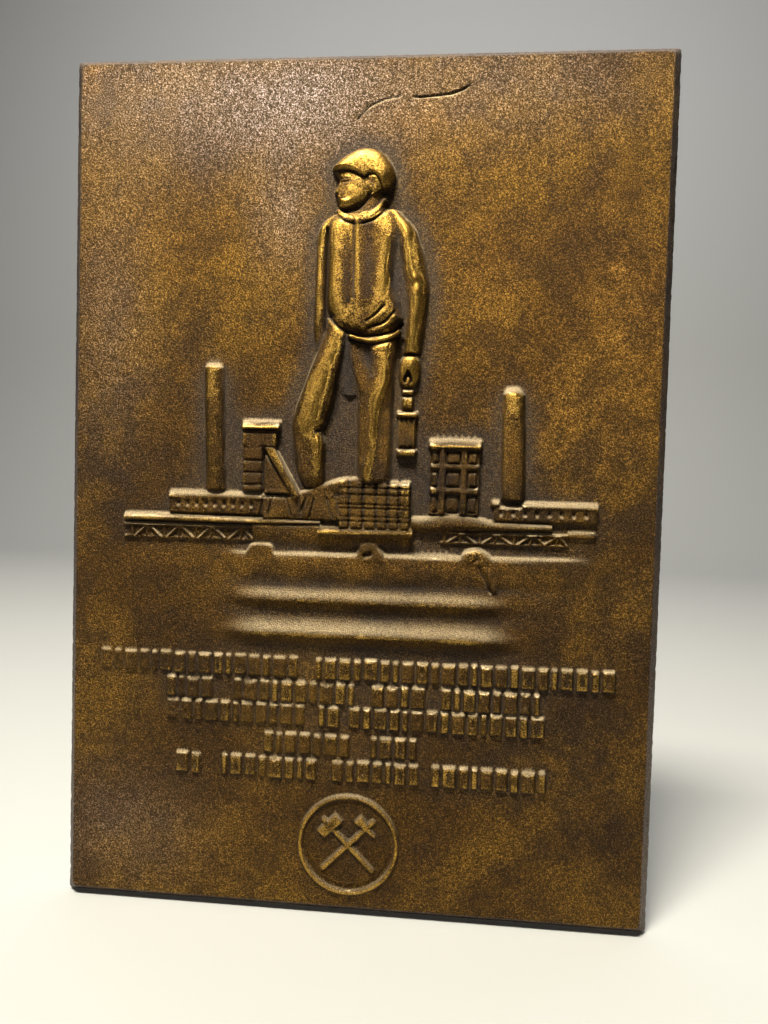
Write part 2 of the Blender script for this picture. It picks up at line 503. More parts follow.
def sculpt_hand_and_lamp(relief):
    relief.column((
        (44.7, 14.2, 19.2, 2.7, 0.50), (43.2, 13.2, 19.8, 3.5, 0.50), (40.6, 12.8, 20.1, 3.6, 0.5),
        (37.4, 12.9, 19.7, 3.2, 0.5), (35.4, 13.4, 18.8, 2.6, 0.5), (34.4, 14.2, 18.0, 1.9, 0.5),
    ), fullness=2.2)
    relief.cut(((13.9, 45.2), (16.6, 44.9), (19.8, 45.1)), 0.9, 1.1, smooth=True)
    hollow = ((16.0, 40.6), (14.9, 38.9), (14.3, 37.2), (14.8, 35.8), (16.0, 35.4), (17.2, 35.8),
              (17.6, 37.2), (17.1, 38.9))
    where, x, z = relief.window(hollow, 0.5)
    ring = smooth_path(hollow, closed=True)
    distance, _ = path_distance(x, z, ring, closed=True)
    depth = np.where(inside_path(x, z, ring), np.clip(distance / 0.5, 0, 1), 0)
    relief.height[where] += (0.9 - relief.height[where]) * depth
    relief.swell(((15.1, 37.2), (15.1, 35.8), (16.0, 35.3), (16.9, 35.8), (16.9, 37.2), (16.0, 38.3)),
                 2.8, 0.8)
    middle = 16.1
    for low, high, half, crest in ((31.9, 34.3, 2.1, 2.6), (27.0, 32.0, 2.0, 2.5), (24.5, 27.0, 3.6, 2.7),
                                   (14.8, 24.5, 3.2, 1.5), (11.8, 14.8, 3.5, 2.6)):
        relief.block(middle - half, middle + half, low, high, crest, draft=0.6, roof=1.3, drop=0.45 * crest)
    for offset in (-2.5, -0.9, 0.4, 2.3):
        relief.ridge(((middle + offset, 14.8), (middle + offset, 24.4)), 0.7, 2.1, smooth=False)
    relief.ledge(((middle - 2.2, 31.9), (middle + 2.2, 31.9)), 0.8, 0.9)
    relief.ledge(((middle - 3.4, 24.6), (middle + 3.4, 24.6)), 0.8, 0.8)
    relief.fold(((middle - 1.6, 27.6), (middle, 28.0), (middle + 1.6, 27.6)), 0.7, -0.5)
    relief.fold(((middle - 3.2, 12.2), (middle, 12.0), (middle + 3.2, 12.2)), 0.8, -0.6)


def sculpt_ground(relief):
    """The mound at the miner's front foot."""
    relief.column((
        (-24.0, -3.0, -1.6, 0.5, 0.6), (-19.4, -3.0, -0.6, 1.6, 0.70), (-14.0, -3.0, 1.4, 2.0, 0.74),
        (-9.0, -3.0, 3.2, 2.2, 0.80), (-5.0, -3.0, 4.5, 2.4, 0.84), (-2.0, -3.0, 4.7, 2.4, 0.84),
        (4.0, -3.0, 4.6, 2.3, 0.84),
    ), upright=False, fullness=1.7, fillet=0.5)


# The works behind the miner


def sculpt_chimneys(relief):
    relief.column((
        (-1.0, -51.2, -44.5, 0.50 * WORKS, 0.46), (1.6, -51.2, -44.6, 1.25 * WORKS, 0.46),
        (16.0, -51.7, -45.2, 1.30 * WORKS, 0.46),
        (38.6, -52.4, -46.0, 1.30 * WORKS, 0.46), (39.8, -52.5, -46.2, 1.15 * WORKS, 0.46),
        (41.0, -52.4, -46.2, 0.60 * WORKS, 0.46), (42.1, -52.2, -46.4, 0.05 * WORKS, 0.46),
    ), fillet=0.5)
    relief.column((
        (-1.6, 47.3, 55.1, 0.50 * WORKS, 0.46), (1.0, 47.3, 55.0, 1.30 * WORKS, 0.46),
        (16.0, 47.2, 54.6, 1.35 * WORKS, 0.46),
        (31.4, 47.0, 54.0, 1.35 * WORKS, 0.46), (32.8, 47.0, 53.8, 1.20 * WORKS, 0.46),
        (34.2, 47.4, 53.2, 0.65 * WORKS, 0.46), (35.3, 48.0, 52.6, 0.05 * WORKS, 0.46),
    ), fillet=0.5)


def sculpt_tower(relief):
    relief.block(-39.4, -25.8, 19.6, 23.4, 1.45 * WORKS, draft=0.7, roof=3.0, drop=2.6)
    relief.block(-38.9, -26.9, 13.3, 19.9, 1.05 * WORKS, draft=0.4)
    relief.block(-38.7, -31.7, -1.0, 13.9, 1.0 * WORKS, draft=0.4)
    relief.swell(((-31.9, -0.6), (-21.4, -0.6), (-31.2, 13.0)), 1.7, 0.8, fullness=1.3, smooth=False)
    relief.ridge(((-29.4, 13.7), (-20.6, -1.8)), 3.4, 1.25 * WORKS, fullness=3.2, smooth=False)
    relief.cut(((-31.7, 13.0), (-31.7, -0.6)), 0.7, 0.8)
    relief.cut(((-31.4, 13.0), (-22.0, -1.4)), 0.8, 0.9)
    relief.ledge(((-39.0, 19.3), (-26.8, 19.3)), 1.0, 0.9)
    relief.ledge(((-38.9, 14.4), (-26.9, 14.4)), 0.9, 0.8)
    for z in (9.8, 5.8, 1.8):
        relief.ledge(((-38.7, z), (-31.9, z)), 0.9, 0.8)
    relief.block(-31.2, -21.8, -1.5, 0.9, 0.95 * WORKS, draft=0.3, roof=1.4, drop=1.2)
    relief.ledge(((-31.2, -1.7), (-20.6, -1.7)), 0.9, 0.8)


def sculpt_trestle(relief):
    relief.block(-31.6, -5.0, -10.0, -1.6, 0.85 * WORKS, draft=0.4)
    relief.block(-17.6, -7.4, -2.2, -0.2, 1.05 * WORKS, draft=0.3, roof=1.4, drop=1.2)
    relief.ledge(((-17.2, -1.5), (-8.8, -1.0)), 0.9, 0.8)
    relief.ledge(((-31.4, -2.2), (-20.8, -2.2)), 0.8, 0.7)
    relief.fold(((-19.4, -3.4), (-18.8, -6.4), (-18.4, -9.0)), 0.7, -0.7)
    relief.fold(((-28.0, -9.2), (-24.0, -9.8), (-18.0, -9.6), (-10.0, -9.8)), 1.4, -0.6)
    for (x0, z0), (x1, z1) in (((-31.3, -2.5), (-32.4, -8.6)), ((-28.2, -2.5), (-29.4, -7.6)),
                               ((-23.8, -2.6), (-21.9, -8.4)), ((-16.9, -2.6), (-18.6, -7.0)),
                               ((-14.1, -2.6), (-15.5, -8.6)), ((-10.1, -2.0), (-7.7, -9.9)),
                               ((-7.2, -1.2), (-5.2, -9.4))):
        relief.cut(((x0, z0), (x1, z1)), 0.7, 0.8)
        relief.fold(((x0 - 0.6, z0), ((x0 + x1) / 2 - 0.6, (z0 + z1) / 2), (x1 - 0.6, z1)), 0.35, 0.35)


def sculpt_screens(relief):
    relief.block(-6.0, 18.0, -12.4, 4.3, 1.2 * WORKS, draft=0.6, roof=2.2, drop=2.2)
    for z, width in ((1.6, 0.9), (-0.6, 0.9), (-3.9, 0.8), (-5.1, 0.9), (-7.8, 0.8), (-9.4, 0.9)):
        relief.ledge(((-5.8, z), (18.0, z)), width, 0.75)
    for x in (-2.2, 2.4, 6.6, 10.6, 14.3):
        relief.cut(((x - 0.1, 4.0), (x + 0.1, -12.0)), 1.3, 1.4)
    relief.column((
        (-12.8, -15.4, -11.6, 0.9 * WORKS, 0.42), (-11.6, -15.4, -11.5, 1.45 * WORKS, 0.42),
        (17.8, -15.1, -11.3, 1.45 * WORKS, 0.42), (19.1, -15.1, -11.4, 0.9 * WORKS, 0.42),
    ), upright=False, fullness=1.35)
    relief.column((
        (-12.0, -19.2, -13.6, 1.05 * WORKS, 0.86), (3.0, -19.0, -13.4, 1.15 * WORKS, 0.86),
        (18.2, -18.2, -13.2, 1.05 * WORKS, 0.86),
    ), upright=False, fullness=1.2)


def sculpt_washery(relief):
    relief.block(24.0, 40.2, -6.8, 16.2, 1.05 * WORKS, draft=0.4)
    relief.block(23.2, 41.0, 14.6, 18.2, 1.45 * WORKS, draft=0.7, roof=2.8, drop=2.5)
    for left, right in ((24.2, 27.1), (29.1, 34.2), (36.1, 39.8)):
        for low, high, share in ((9.7, 14.6, 1.0), (2.0, 8.1, 1.0), (-6.4, 0.2, 0.72)):
            relief.panel(left, right, low, high, 0.50 * WORKS * share, draft=0.2)
            relief.block(left + 0.35, right - 0.4, low + 0.5, high - 0.6, 1.0 * WORKS * share, draft=0.35,
                         roof=1.1, drop=0.9)
    for z in (14.9, 8.9, 1.1):
        relief.ridge(((24.9, z), (39.3, z)), 1.4, 1.2 * WORKS, smooth=False)
    for x in (28.1, 35.1):
        relief.ridge(((x, 15.2), (x, -1.6)), 1.6, 1.15 * WORKS, fullness=2.4, smooth=False)
    relief.fold(((24.6, -5.8), (32.0, -6.0), (39.6, -5.8)), 1.4, -0.7)


def sculpt_halls(relief):
    relief.block(-64.0, -30.9, -8.9, -3.2, 0.72 * WORKS, draft=0.4)
    relief.block(-64.3, -30.7, -3.9, -0.9, 1.15 * WORKS, draft=0.6, roof=2.7, drop=2.2)
    relief.block(44.9, 78.6, -8.7, -3.4, 0.66 * WORKS, draft=0.5)
    relief.block(44.0, 47.4, -4.0, -1.0, 1.0 * WORKS, draft=0.8, roof=2.6, drop=1.8)
    relief.block(54.0, 78.9, -4.3, -1.4, 1.05 * WORKS, draft=0.6, roof=2.6, drop=2.0)
    for first, pitch, count, z in ((-60.4, 3.13, 9, -5.6), (47.6, 3.87, 8, -5.9)):
        for number in range(count):
            x = first + pitch * number
            relief.cut(((x, z - 0.2), (x, z + 0.7)), 1.5, 0.9)
            relief.cut(((x - 0.1, z - 1.2), (x - 0.1, z - 0.5)), 0.8, -0.75)


def sculpt_quays(relief):
    relief.column((
        (-79.6, -11.8, -8.9, 0.75 * WORKS, 0.36), (-78.6, -11.8, -8.8, 1.0 * WORKS, 0.36),
        (-62.0, -11.7, -8.8, 1.15 * WORKS, 0.34), (-34.8, -11.8, -9.2, 1.25 * WORKS, 0.34),
        (-12.0, -11.2, -9.8, 1.15 * WORKS, 0.34),
    ), upright=False, fullness=1.35)
    relief.column((
        (-35.0, -18.4, -11.0, 0.95 * WORKS, 0.86), (-31.0, -18.6, -11.0, 1.0 * WORKS, 0.86),
        (-24.0, -18.8, -11.0, 0.85 * WORKS, 0.84), (-11.6, -19.2, -10.8, 0.95 * WORKS, 0.86),
    ), upright=False, fullness=1.3)
    relief.column((
        (18.2, -12.6, -7.8, 0.9 * WORKS, 0.5), (23.4, -13.5, -7.3, 1.15 * WORKS, 0.5),
        (31.7, -12.3, -6.5, 1.2 * WORKS, 0.46), (41.2, -11.9, -7.3, 1.15 * WORKS, 0.42),
        (45.9, -11.7, -8.4, 1.1 * WORKS, 0.40), (64.0, -11.3, -8.8, 0.9 * WORKS, 0.40),
    ), upright=False, fullness=1.5)
    relief.block(68.8, 78.6, -13.8, -10.7, 0.5 * WORKS, draft=0.9, roof=1.4, drop=0.6)
    for left, right, top, low, apexes in ((-79.4, -34.8, -12.9, -17.2, (-71.2, -60.0, -48.9, -38.4)),
                                          (28.4, 69.0, -12.6, -15.9, (34.9, 46.4, 57.8, 66.1))):
        relief.block(left, right, low - 0.4, top + 0.6, 0.16 * WORKS, draft=0.4)
        relief.ridge(((left, top), (right, top)), 1.0, 0.62 * WORKS, smooth=False, fillet=0.3)
        relief.ridge(((left, low), (right, low)), 0.8, 0.45 * WORKS, smooth=False, fillet=0.3)
        for apex in apexes:
            for reach, thick in ((-4.6, 0.8), (-0.6, 0.6), (4.6, 0.8), (-5.6, 0.6)):
                foot = min(max(apex + reach, left), right)
                crown = foot if reach < -5.0 else apex
                relief.ridge(((crown, top), (foot, low)), thick, 0.60 * WORKS, smooth=False, fillet=0.3)


def sculpt_water(relief):
    """A bank and two waves, with a tug, a barge and a prow at the bank's edge."""
    left, right = -50.0, 82.0
    stations = []
    for along, fade in ((0.0, 0.02), (0.05, 0.35), (0.12, 0.8), (0.25, 1.0), (0.5, 1.0), (0.75, 0.96),
                        (0.88, 0.7), (0.95, 0.25), (1.0, 0.02)):
        x = left + (right - left) * along
        stations.append((x, -31.6 + along, -21.2 + 1.6 * along, 1.10 * fade * WATER, 0.87))
    relief.column(stations, upright=False, fullness=1.5, fillet=0.35)
    relief.breaker(-55.0, 64.0, (-32.0, -36.6, -40.7), 1.40 * WATER)
    relief.breaker(-56.0, 66.0, (-42.4, -47.9, -53.0), 1.80 * WATER)
    relief.swell(((0.4, -22.8), (0.8, -19.4), (1.8, -17.0), (4.4, -15.9), (6.8, -16.6), (8.6, -18.8),
                  (10.8, -21.8), (11.8, -23.6), (6.0, -23.8)), 2.3, 1.6, fullness=1.8)
    relief.cut(((3.4, -20.9), (4.9, -20.5)), 2.4, 1.4)
    relief.fold(((8.4, -20.8), (10.0, -22.0), (11.0, -23.8)), 0.6, -0.5)
    relief.swell(((-36.6, -22.4), (-36.3, -19.4), (-34.6, -17.9), (-31.0, -17.7), (-28.4, -18.2),
                  (-27.5, -20.0), (-27.8, -22.4)), 1.7, 1.2, fullness=1.6)
    relief.swell(((35.0, -22.6), (35.2, -19.8), (36.8, -18.1), (39.8, -17.2), (42.2, -17.9), (44.7, -19.9),
                  (45.3, -22.2), (40.4, -23.6)), 2.4, 1.7, fullness=1.8)
    relief.fold(((36.2, -20.2), (36.8, -19.2), (37.8, -18.8)), 0.6, 0.5)
    relief.cut(((38.8, -22.0), (40.4, -20.9)), 1.2, 0.7)
    relief.ridge(((42.6, -23.0), (44.4, -27.0), (46.2, -31.4)), (3.0, 2.8, 1.8), (2.1, 1.7, 1.0))
    relief.cut(((41.0, -23.6), (42.9, -27.6), (45.0, -31.8)), 1.1, 0.7, smooth=True)


# Inscription rows and emblem


def sculpt_inscription(relief):
    """Rows of upright strokes of uneven width, set out in words; no stroke is a letter."""
    stroke = 0
    for drop, words in zip(ROW_DROPS, ROW_WORDS):
        low = FIRST_ROW - drop - ROW_HEIGHT / 2
        for start, end in words:
            x = start
            while x < end - STROKE_WIDTHS[-2]:
                width = min(STROKE_WIDTHS[stroke % len(STROKE_WIDTHS)], end - x)
                place = 0.5 + 0.5 * x / ROW_REACH
                worn = 0.72 + 0.36 * place + chance.uniform(-0.10, 0.10)
                shift = chance.uniform(-0.2, 0.2)
                height = min(worn, 1.08) * STROKE * 1.15
                foot, top = low + 0.1 + shift, low + ROW_HEIGHT - 0.05 + shift
                relief.block(x, x + width, foot, top, height, roof=0.9, drop=0.5 * height)
                if width > 3.0 and chance.random() < MARKED_STROKES:
                    middle = x + width * chance.uniform(0.4, 0.6)
                    level = low + ROW_HEIGHT * chance.uniform(0.35, 0.6)
                    relief.cut(((middle, level - 0.7), (middle, level + 0.7)), 1.1, 0.5)
                x += width + STROKE_GAP
                stroke += 1


def sculpt_emblem(relief):
    """A ring around a crossed hammer and pick, the common sign of mining."""
    centre = np.array(EMBLEM_MIDDLE)
    ring_width, inner_radius, handle_reach, head_place, head_half = 1.6, 13.6, 11.7, 8.8, 4.5
    turn = np.linspace(0, 2 * math.pi, 73)
    circle = np.column_stack((np.cos(turn), np.sin(turn)))
    ring = centre + (EMBLEM_RADIUS - ring_width / 2) * circle
    relief.ridge(ring, ring_width, EMBLEM, fullness=3.0, smooth=False)
    relief.ridge(centre + inner_radius * circle, 0.5, 0.4 * EMBLEM, smooth=False)
    for side in (-1, 1):
        along = np.array((side, 1.0)) / math.sqrt(2)
        across = np.array((along[1], -along[0]))
        handle = (centre - along * handle_reach, centre + along * handle_reach)
        relief.ridge(handle, 1.9, EMBLEM, fullness=2.6, smooth=False)
        head = centre + along * head_place
        tip = 0.4 if side > 0 else 2.0
        relief.swell((
            head - across * head_half + along * 2.0, head - across * head_half - along * 2.0,
            head + across * head_half - along * tip, head + across * head_half + along * tip,
        ), 1.2 * EMBLEM, 0.7, fullness=1.6, smooth=False)


def age_surface(relief):
    """The old crack, pits, and the unevenness of a sand casting."""
    relief.cut(((-2.4, 119.5), (-1.1, 117.0), (0.2, 114.4)), 0.6, 0.3)
    relief.cut(((-2.8, 121.9), (0.2, 125.2), (2.8, 126.7), (6.4, 128.1), (11.1, 128.9)), 0.95, 0.6)
    relief.fold(((-2.2, 121.2), (0.9, 124.4), (3.4, 125.9), (7.0, 127.2), (12.4, 128.0)), 0.5, 0.22)
    relief.cut(((10.6, 129.4), (12.2, 130.1), (13.7, 129.8)), 0.6, 0.3)
    relief.cut(((15.1, 128.6), (17.7, 128.4), (21.0, 128.7), (27.5, 129.3), (30.8, 130.5), (33.0, 131.8)),
               0.95, 0.8)
    relief.fold(((15.0, 127.7), (21.0, 127.8), (27.5, 128.4), (31.2, 129.7)), 0.5, 0.22)
    for x, z, size, depth in PITS:
        relief.cut(((x, z), (x + 0.3, z + 0.1)), size, depth)
    relief.height = blurred(relief.height, 0.14)
    body = soft_step(relief.height, 0.1, 0.6)
    inset = np.minimum(FACE_X - np.abs(relief.x)[None, :], FACE_Z - np.abs(relief.z)[:, None])
    relief.height += unevenness(*BROAD_WAVES) * (1 - 0.6 * body) * soft_step(inset, 0.0, 16.0)
    fine = unevenness(*FINE_WAVES) + unevenness(*SAND_GRAINS)
    relief.height += fine * soft_step(inset, 0.0, 4.0)
    relief.height = np.clip(relief.height, -0.9, TALLEST)


def sculpt():
    relief = Relief()
    sculpt_chimneys(relief)
    sculpt_washery(relief)
    sculpt_halls(relief)
    sculpt_quays(relief)
    sculpt_trestle(relief)
    sculpt_tower(relief)
    sculpt_ground(relief)
    sculpt_screens(relief)
    works = relief.height
    relief.height = np.zeros_like(works)
    sculpt_legs(relief)
    sculpt_jacket(relief)
    sculpt_head(relief)
    sculpt_hand_and_lamp(relief)
    relief.height = np.maximum(works, relief.height)
    sculpt_water(relief)
    sculpt_inscription(relief)
    sculpt_emblem(relief)
    age_surface(relief)
    return relief


# Mesh


def cell_errors(height, level):
    """How far the surface departs from each cell of a level when the cell is a plain patch."""
    size = 2 ** level
    rows, columns = STEPS_Z // size, STEPS_X // size
    corner = height[::size, ::size]
    worst = np.zeros((rows, columns))
    for i in range(size + 1):
        for j in range(size + 1):
            u, v = j / size, i / size
            patch = ((1 - u) * (1 - v) * corner[:-1, :-1] + u * (1 - v) * corner[:-1, 1:]
                     + (1 - u) * v * corner[1:, :-1] + u * v * corner[1:, 1:])
            real = height[i:i + (rows - 1) * size + 1:size, j:j + (columns - 1) * size + 1:size]
            worst = np.maximum(worst, np.abs(real - patch))
    return worst


def spread(cells, level):
    """A value per cell of a level, repeated for every grid step in it."""
    size = 2 ** level
    return np.repeat(np.repeat(cells, size, axis=0), size, axis=1)


def cell_lows(steps, level):
    """The lowest value among the grid steps of each cell of a level."""
    size = 2 ** level
    return steps.reshape(STEPS_Z // size, size, STEPS_X // size, size).min(axis=(1, 3))


def edge_levels():
    """The level that the cells along the plate's edge must have, so that front and back fit the sides."""
    wanted = np.full((STEPS_Z, STEPS_X), -1)
    for rows, columns in (((0, 4), (0, STEPS_X)), ((-4, None), (0, STEPS_X)), ((0, STEPS_Z), (0, 4)),
                          ((0, STEPS_Z), (-4, None))):
        wanted[slice(*rows), slice(*columns)] = EDGE_LEVEL
    near_x = np.minimum(np.arange(STEPS_X), STEPS_X - 1 - np.arange(STEPS_X)) < CORNER_STEPS
    near_z = np.minimum(np.arange(STEPS_Z), STEPS_Z - 1 - np.arange(STEPS_Z)) < CORNER_STEPS
    corner = near_z[:, None] & near_x[None, :]
    wanted[corner & (wanted >= 0)] = CORNER_LEVEL
    return wanted


def cell_levels(errors, tolerance):
    """The level of the cell at every grid step: fine where the surface needs it, and evenly graded."""
    wanted = edge_levels()
    levels = np.full((STEPS_Z, STEPS_X), COARSEST)
    for level in range(COARSEST, 0, -1):
        needed = errors[level] > tolerance
        edge = cell_lows(np.where(wanted >= 0, wanted, COARSEST + 1), level)
        split = np.where(edge <= COARSEST, edge < level, needed)
        levels = np.where((levels == level) & spread(split, level), level - 1, levels)
    settled = False
    while not settled:
        settled = True
        padded = np.pad(levels, 1, mode="edge")
        around = np.minimum(np.minimum(padded[:-2, 1:-1], padded[2:, 1:-1]),
                            np.minimum(padded[1:-1, :-2], padded[1:-1, 2:]))
        for level in range(COARSEST, 1, -1):
            split = spread(cell_lows(around, level) < level - 1, level) & (levels == level)
            if split.any():
                levels = np.where(split, level - 1, levels)
                settled = False
    return levels


def triangulate(levels, height):
    """Triangles over the cells, as indices into the even grid; a cell beside finer ones is a fan."""
    wide = STEPS_X + 1
    triangles = []
    padded = np.pad(levels, 1, constant_values=COARSEST + 1)
    for level in range(COARSEST + 1):
        size = 2 ** level
        rows, columns = np.nonzero(levels[::size, ::size] == level)
        rows, columns = rows * size, columns * size
        low_left = rows * wide + columns
        low_right = low_left + size
        high_left = low_left + size * wide
        high_right = high_left + size
        below = padded[rows, columns + 1] < level
        right = padded[rows + 1, columns + size + 1] < level
        above = padded[rows + size + 1, columns + 1] < level
        left = padded[rows + 1, columns] < level
        fan = below | right | above | left
        flat = height.ravel()
        rising = np.abs(flat[low_left] - flat[high_right]) <= np.abs(flat[low_right] - flat[high_left])
        rising_pair = ((low_left, low_right, high_right), (low_left, high_right, high_left))
        falling_pair = ((low_left, low_right, high_left), (low_right, high_right, high_left))
        for pick, pair in ((~fan & rising, rising_pair), (~fan & ~rising, falling_pair)):
            for corners in pair:
                triangles.append(np.column_stack([corner[pick] for corner in corners]))
        if level == 0:
            continue
        half = size // 2
        centre = low_left + half * wide + half
        for side, start, end, middle in (
                (below, low_left, low_right, low_left + half),
                (right, low_right, high_right, low_right + half * wide),
                (above, high_right, high_left, high_left + half),
                (left, high_left, low_left, low_left + half * wide)):
            whole = fan & ~side
            triangles.append(np.column_stack((centre[whole], start[whole], end[whole])))
            parted = fan & side
            triangles.append(np.column_stack((centre[parted], start[parted], middle[parted])))
            triangles.append(np.column_stack((centre[parted], middle[parted], end[parted])))
    return np.vstack(triangles)


def rounded_corners(x, z, half_x, half_z):
    """Moves places near a square corner so that the corner is round."""
    over_x = np.clip((np.abs(x) - (half_x - CORNER_RADIUS)) / CORNER_RADIUS, 0, None)
    over_z = np.clip((np.abs(z) - (half_z - CORNER_RADIUS)) / CORNER_RADIUS, 0, None)
    both = (over_x > 0) & (over_z > 0)
    share = np.where(both, np.maximum(over_x, over_z) / np.maximum(np.hypot(over_x, over_z), 1e-9), 1.0)
    new_x = np.where(both, np.sign(x) * (half_x - CORNER_RADIUS + CORNER_RADIUS * over_x * share), x)
    new_z = np.where(both, np.sign(z) * (half_z - CORNER_RADIUS + CORNER_RADIUS * over_z * share), z)
    return new_x, new_z


def edge_loop(triangles):
    """Grid indices around the plate's edge, counter-clockwise from the lower left."""
    wide = STEPS_X + 1
    used = np.unique(triangles)
    row, column = np.divmod(used, wide)
    bottom = used[row == 0]
    right = used[(column == STEPS_X) & (row > 0)]
    top = used[(row == STEPS_Z) & (column < STEPS_X)][::-1]
    left = used[(column == 0) & (row > 0) & (row < STEPS_Z)][::-1]
    return np.concatenate((bottom, right, top, left))


def front_triangles(height):
    """The front's cells, as fine as the limit on triangles allows."""
    errors = {level: cell_errors(height, level) for level in range(1, COARSEST + 1)}
    low, high = LEAST_TOLERANCE, MOST_TOLERANCE
    for _ in range(TOLERANCE_TRIES):
        tolerance = math.sqrt(low * high)
        triangles = triangulate(cell_levels(errors, tolerance), height)
        if len(triangles) > MOST_FRONT_TRIANGLES:
            low = tolerance
        else:
            high = tolerance
            front = triangles
    return front


def back_triangles(height):
    """The back's cells: coarse, but for the edge that the sides share."""
    errors = {}
    for level in range(1, COARSEST + 1):
        errors[level] = np.zeros((STEPS_Z // 2 ** level, STEPS_X // 2 ** level))
    return triangulate(cell_levels(errors, 1.0), np.zeros_like(height))


def front_points(relief, used):
    row, column = np.divmod(used, STEPS_X + 1)
    x, z = rounded_corners(relief.x[column], relief.z[row], FACE_X, FACE_Z)
    return np.column_stack((x, -PLATE_THICKNESS - relief.height[row, column], z))


def side_rings(relief, loop, ragged):
    """Points of the sides, one ring after another from the front's edge to the back."""
    row, column = np.divmod(loop, STEPS_X + 1)
    loop_x, loop_z = relief.x[column], relief.z[row]
    rings = []
    for place, (out, above, rough) in enumerate(SIDE_PROFILE):
        rows, columns = (row + 7 * place) % STEPS_Z, (column + 5 * place) % STEPS_X
        ring_out = out - rough * np.abs(ragged[rows, columns])
        half_x, half_z = FACE_X + ring_out, FACE_Z + ring_out
        x, z = rounded_corners(loop_x * half_x / FACE_X, loop_z * half_z / FACE_Z, half_x, half_z)
        rings.append(np.column_stack((x, np.full(len(loop), -above), z)))
    return rings


def back_points(relief, used, ragged):
    row, column = np.divmod(used, STEPS_X + 1)
    half_x, half_z = FACE_X + BACK_OUT, FACE_Z + BACK_OUT
    x, z = relief.x[column] * (half_x / FACE_X), relief.z[row] * (half_z / FACE_Z)
    x, z = rounded_corners(x, z, half_x, half_z)
    return np.column_stack((x, -BACK_DENT * np.abs(ragged[::-1][row, column]), z))


def numbering(used, first):
    """For every grid place, the number of its mesh point; the used ones count up from the first."""
    number = np.full((STEPS_X + 1) * (STEPS_Z + 1), -1)
    number[used] = np.arange(len(used)) + first
    return number


def build_mesh(relief):
    """The closed casting: front, sides and back. Returns its points, faces and marks for the patina."""
    front, back = front_triangles(relief.height), back_triangles(relief.height)
    front_used, back_used = np.unique(front), np.unique(back)
    loop = edge_loop(front)
    ragged = blurred(chance.standard_normal((STEPS_Z + 1, STEPS_X + 1)), RAGGED_GRAIN)
    ragged /= ragged.std()
    rings = side_rings(relief, loop, ragged)
    points = np.vstack([front_points(relief, front_used), *rings, back_points(relief, back_used, ragged)])
    front_number = numbering(front_used, 0)
    back_number = numbering(back_used, len(front_used) + len(loop) * len(rings))
    loops = [front_number[loop]]
    for place in range(len(rings)):
        loops.append(len(front_used) + len(loop) * place + np.arange(len(loop)))
    loops.append(back_number[loop])
    side_faces = []
    for fore, aft in zip(loops, loops[1:]):
        fore_next, aft_next = np.roll(fore, -1), np.roll(aft, -1)
        side_faces.append(np.column_stack((fore, aft, aft_next)))
        side_faces.append(np.column_stack((fore, aft_next, fore_next)))
    faces = np.vstack([front_number[front], *side_faces, back_number[back][:, ::-1]])
    return points * MM, faces, surface_marks(relief, front_used, len(points))


def surface_marks(relief, front_used, total):
    """Shares of rubbed bronze, grime, worn upper edges, and dark, warm and dull patina, per point."""
    height = relief.height
    near = height - blurred(height, 0.9)
    wide_rise = height - blurred(height, 4.5)
    rub = soft_step(near, -0.02, 0.45) * 0.55 + soft_step(wide_rise, 0.0, 2.2) * 0.6
    rub *= 0.72 + 0.28 * soft_step(height, 1.8, 3.6)
    rub += 0.38 * soft_step(height, 3.3, 4.3)
    shelter = soft_step(-wide_rise, 0.05, 0.9) + 0.35 * soft_step(-near, 0.04, 0.5)
    x, z = np.meshgrid(relief.x, relief.z)
    rub += 0.22 * soft_step(height, 0.7, 1.1) * (z < ROWS_TOP)
    rise = -np.gradient(blurred(height, 0.25), relief.z, axis=0)
    upper = soft_step(rise, 0.22, 0.85) * (1 - 0.6 * soft_step(z, EMBLEM_TOP, EMBLEM_TOP - 6.0))
    above_water = soft_step(z, WATER_TOP - 6.0, WATER_TOP)
    upper *= 1 - 0.85 * soft_step(blurred(height, 1.5), 1.0, 1.9) * above_water
    fields = {"rub": (rub, 0.15), "shelter": (shelter, 0.35), "upper": (upper, 0.0)}
    for name, patches in (("dark", DARK_PATCHES), ("warm", WARM_PATCHES), ("dull", DULL_PATCHES)):
        field = np.zeros_like(height)
        for middle_x, middle_z, reach_x, reach_z, share in patches:
            away = ((x - middle_x) / reach_x) ** 2 + ((z - middle_z) / reach_z) ** 2
            field += share * np.exp(-away)
        fields[name] = (field, SIDE_SHARES[name])
    for start, end, width, share in GRIMY_LINES:
        distance, _ = path_distance(x, z, np.array((start, end), float))
        stained = fields["dark"][0] + share * np.exp(-((distance / width) ** 2))
        fields["dark"] = (stained, SIDE_SHARES["dark"])
    marks = {}
    for name, (field, rest) in fields.items():
        values = np.full(total, rest, np.float32)
        values[:len(front_used)] = np.clip(field, 0, 1).ravel()[front_used]
        marks[name] = values
    return marks


